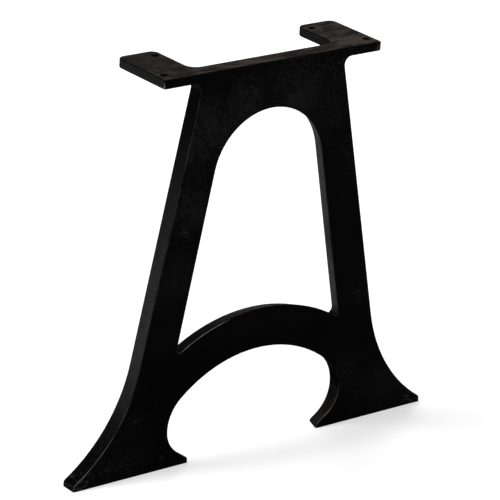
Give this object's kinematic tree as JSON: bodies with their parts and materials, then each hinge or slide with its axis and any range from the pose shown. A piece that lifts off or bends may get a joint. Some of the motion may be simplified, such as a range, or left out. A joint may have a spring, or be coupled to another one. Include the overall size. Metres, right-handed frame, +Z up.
{
  "type": "trestle table leg",
  "caption": "Cast iron trestle table leg with splayed feet, an arched crossbar and flat ears that bolt up under a table top.",
  "frame": {"origin": "on the floor, under the middle of the leg's whole depth and width", "axes": "+X from the left foot to the right foot, +Y from the flat front face back along the ears, +Z up to the table top"},
  "size_m": [0.769, 0.1412, 0.72],
  "materials": {
    "black_iron": "satin black"
  },
  "bodies": {
    "root": {"leg_casting": "black_iron"}
  },
  "joints": []
}
